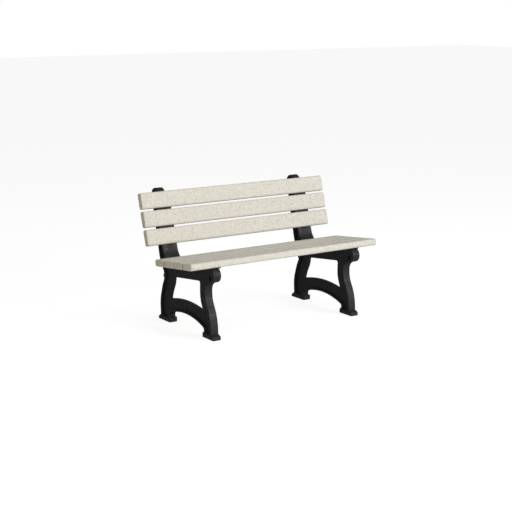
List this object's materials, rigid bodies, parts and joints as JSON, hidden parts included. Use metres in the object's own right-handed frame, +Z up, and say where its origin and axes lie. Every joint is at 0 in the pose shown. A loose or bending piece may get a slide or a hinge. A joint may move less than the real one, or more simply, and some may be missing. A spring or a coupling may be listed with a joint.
{
  "type": "park bench",
  "caption": "Outdoor bench with a flat plank seat and a reclined plank back, screwed to moulded end frames with curved legs, an arched crossbar and scroll ends.",
  "frame": {"origin": "on the ground, at the middle of the bench's length and of its depth", "axes": "+X along the bench, -Y towards the sitter's front, +Z up"},
  "size_m": [1.2192, 0.648, 0.7342],
  "materials": {
    "plank_plastic": "cream recycled plastic with a fine grey and beige fleck, matt, moulded smooth",
    "frame_plastic": "black recycled plastic, satin, with a fine moulded grain and rubbed edges",
    "screw_steel": "black-coated steel, satin, worn at the drive socket",
    "washer_steel": "black-coated steel, satin"
  },
  "bodies": {
    "root": {"left_end_frame": "frame_plastic", "right_end_frame": "frame_plastic", "seat_plank_1": "plank_plastic", "seat_plank_1_screws": "screw_steel", "seat_plank_1_washers": "washer_steel", "seat_plank_2": "plank_plastic", "seat_plank_2_screws": "screw_steel", "seat_plank_2_washers": "washer_steel", "seat_plank_3": "plank_plastic", "seat_plank_3_screws": "screw_steel", "seat_plank_3_washers": "washer_steel", "seat_plank_4": "plank_plastic", "seat_plank_4_screws": "screw_steel", "seat_plank_4_washers": "washer_steel", "back_plank_1": "plank_plastic", "back_plank_1_screws": "screw_steel", "back_plank_1_washers": "washer_steel", "back_plank_2": "plank_plastic", "back_plank_2_screws": "screw_steel", "back_plank_2_washers": "washer_steel", "back_plank_3": "plank_plastic", "back_plank_3_screws": "screw_steel", "back_plank_3_washers": "washer_steel"}
  },
  "joints": []
}
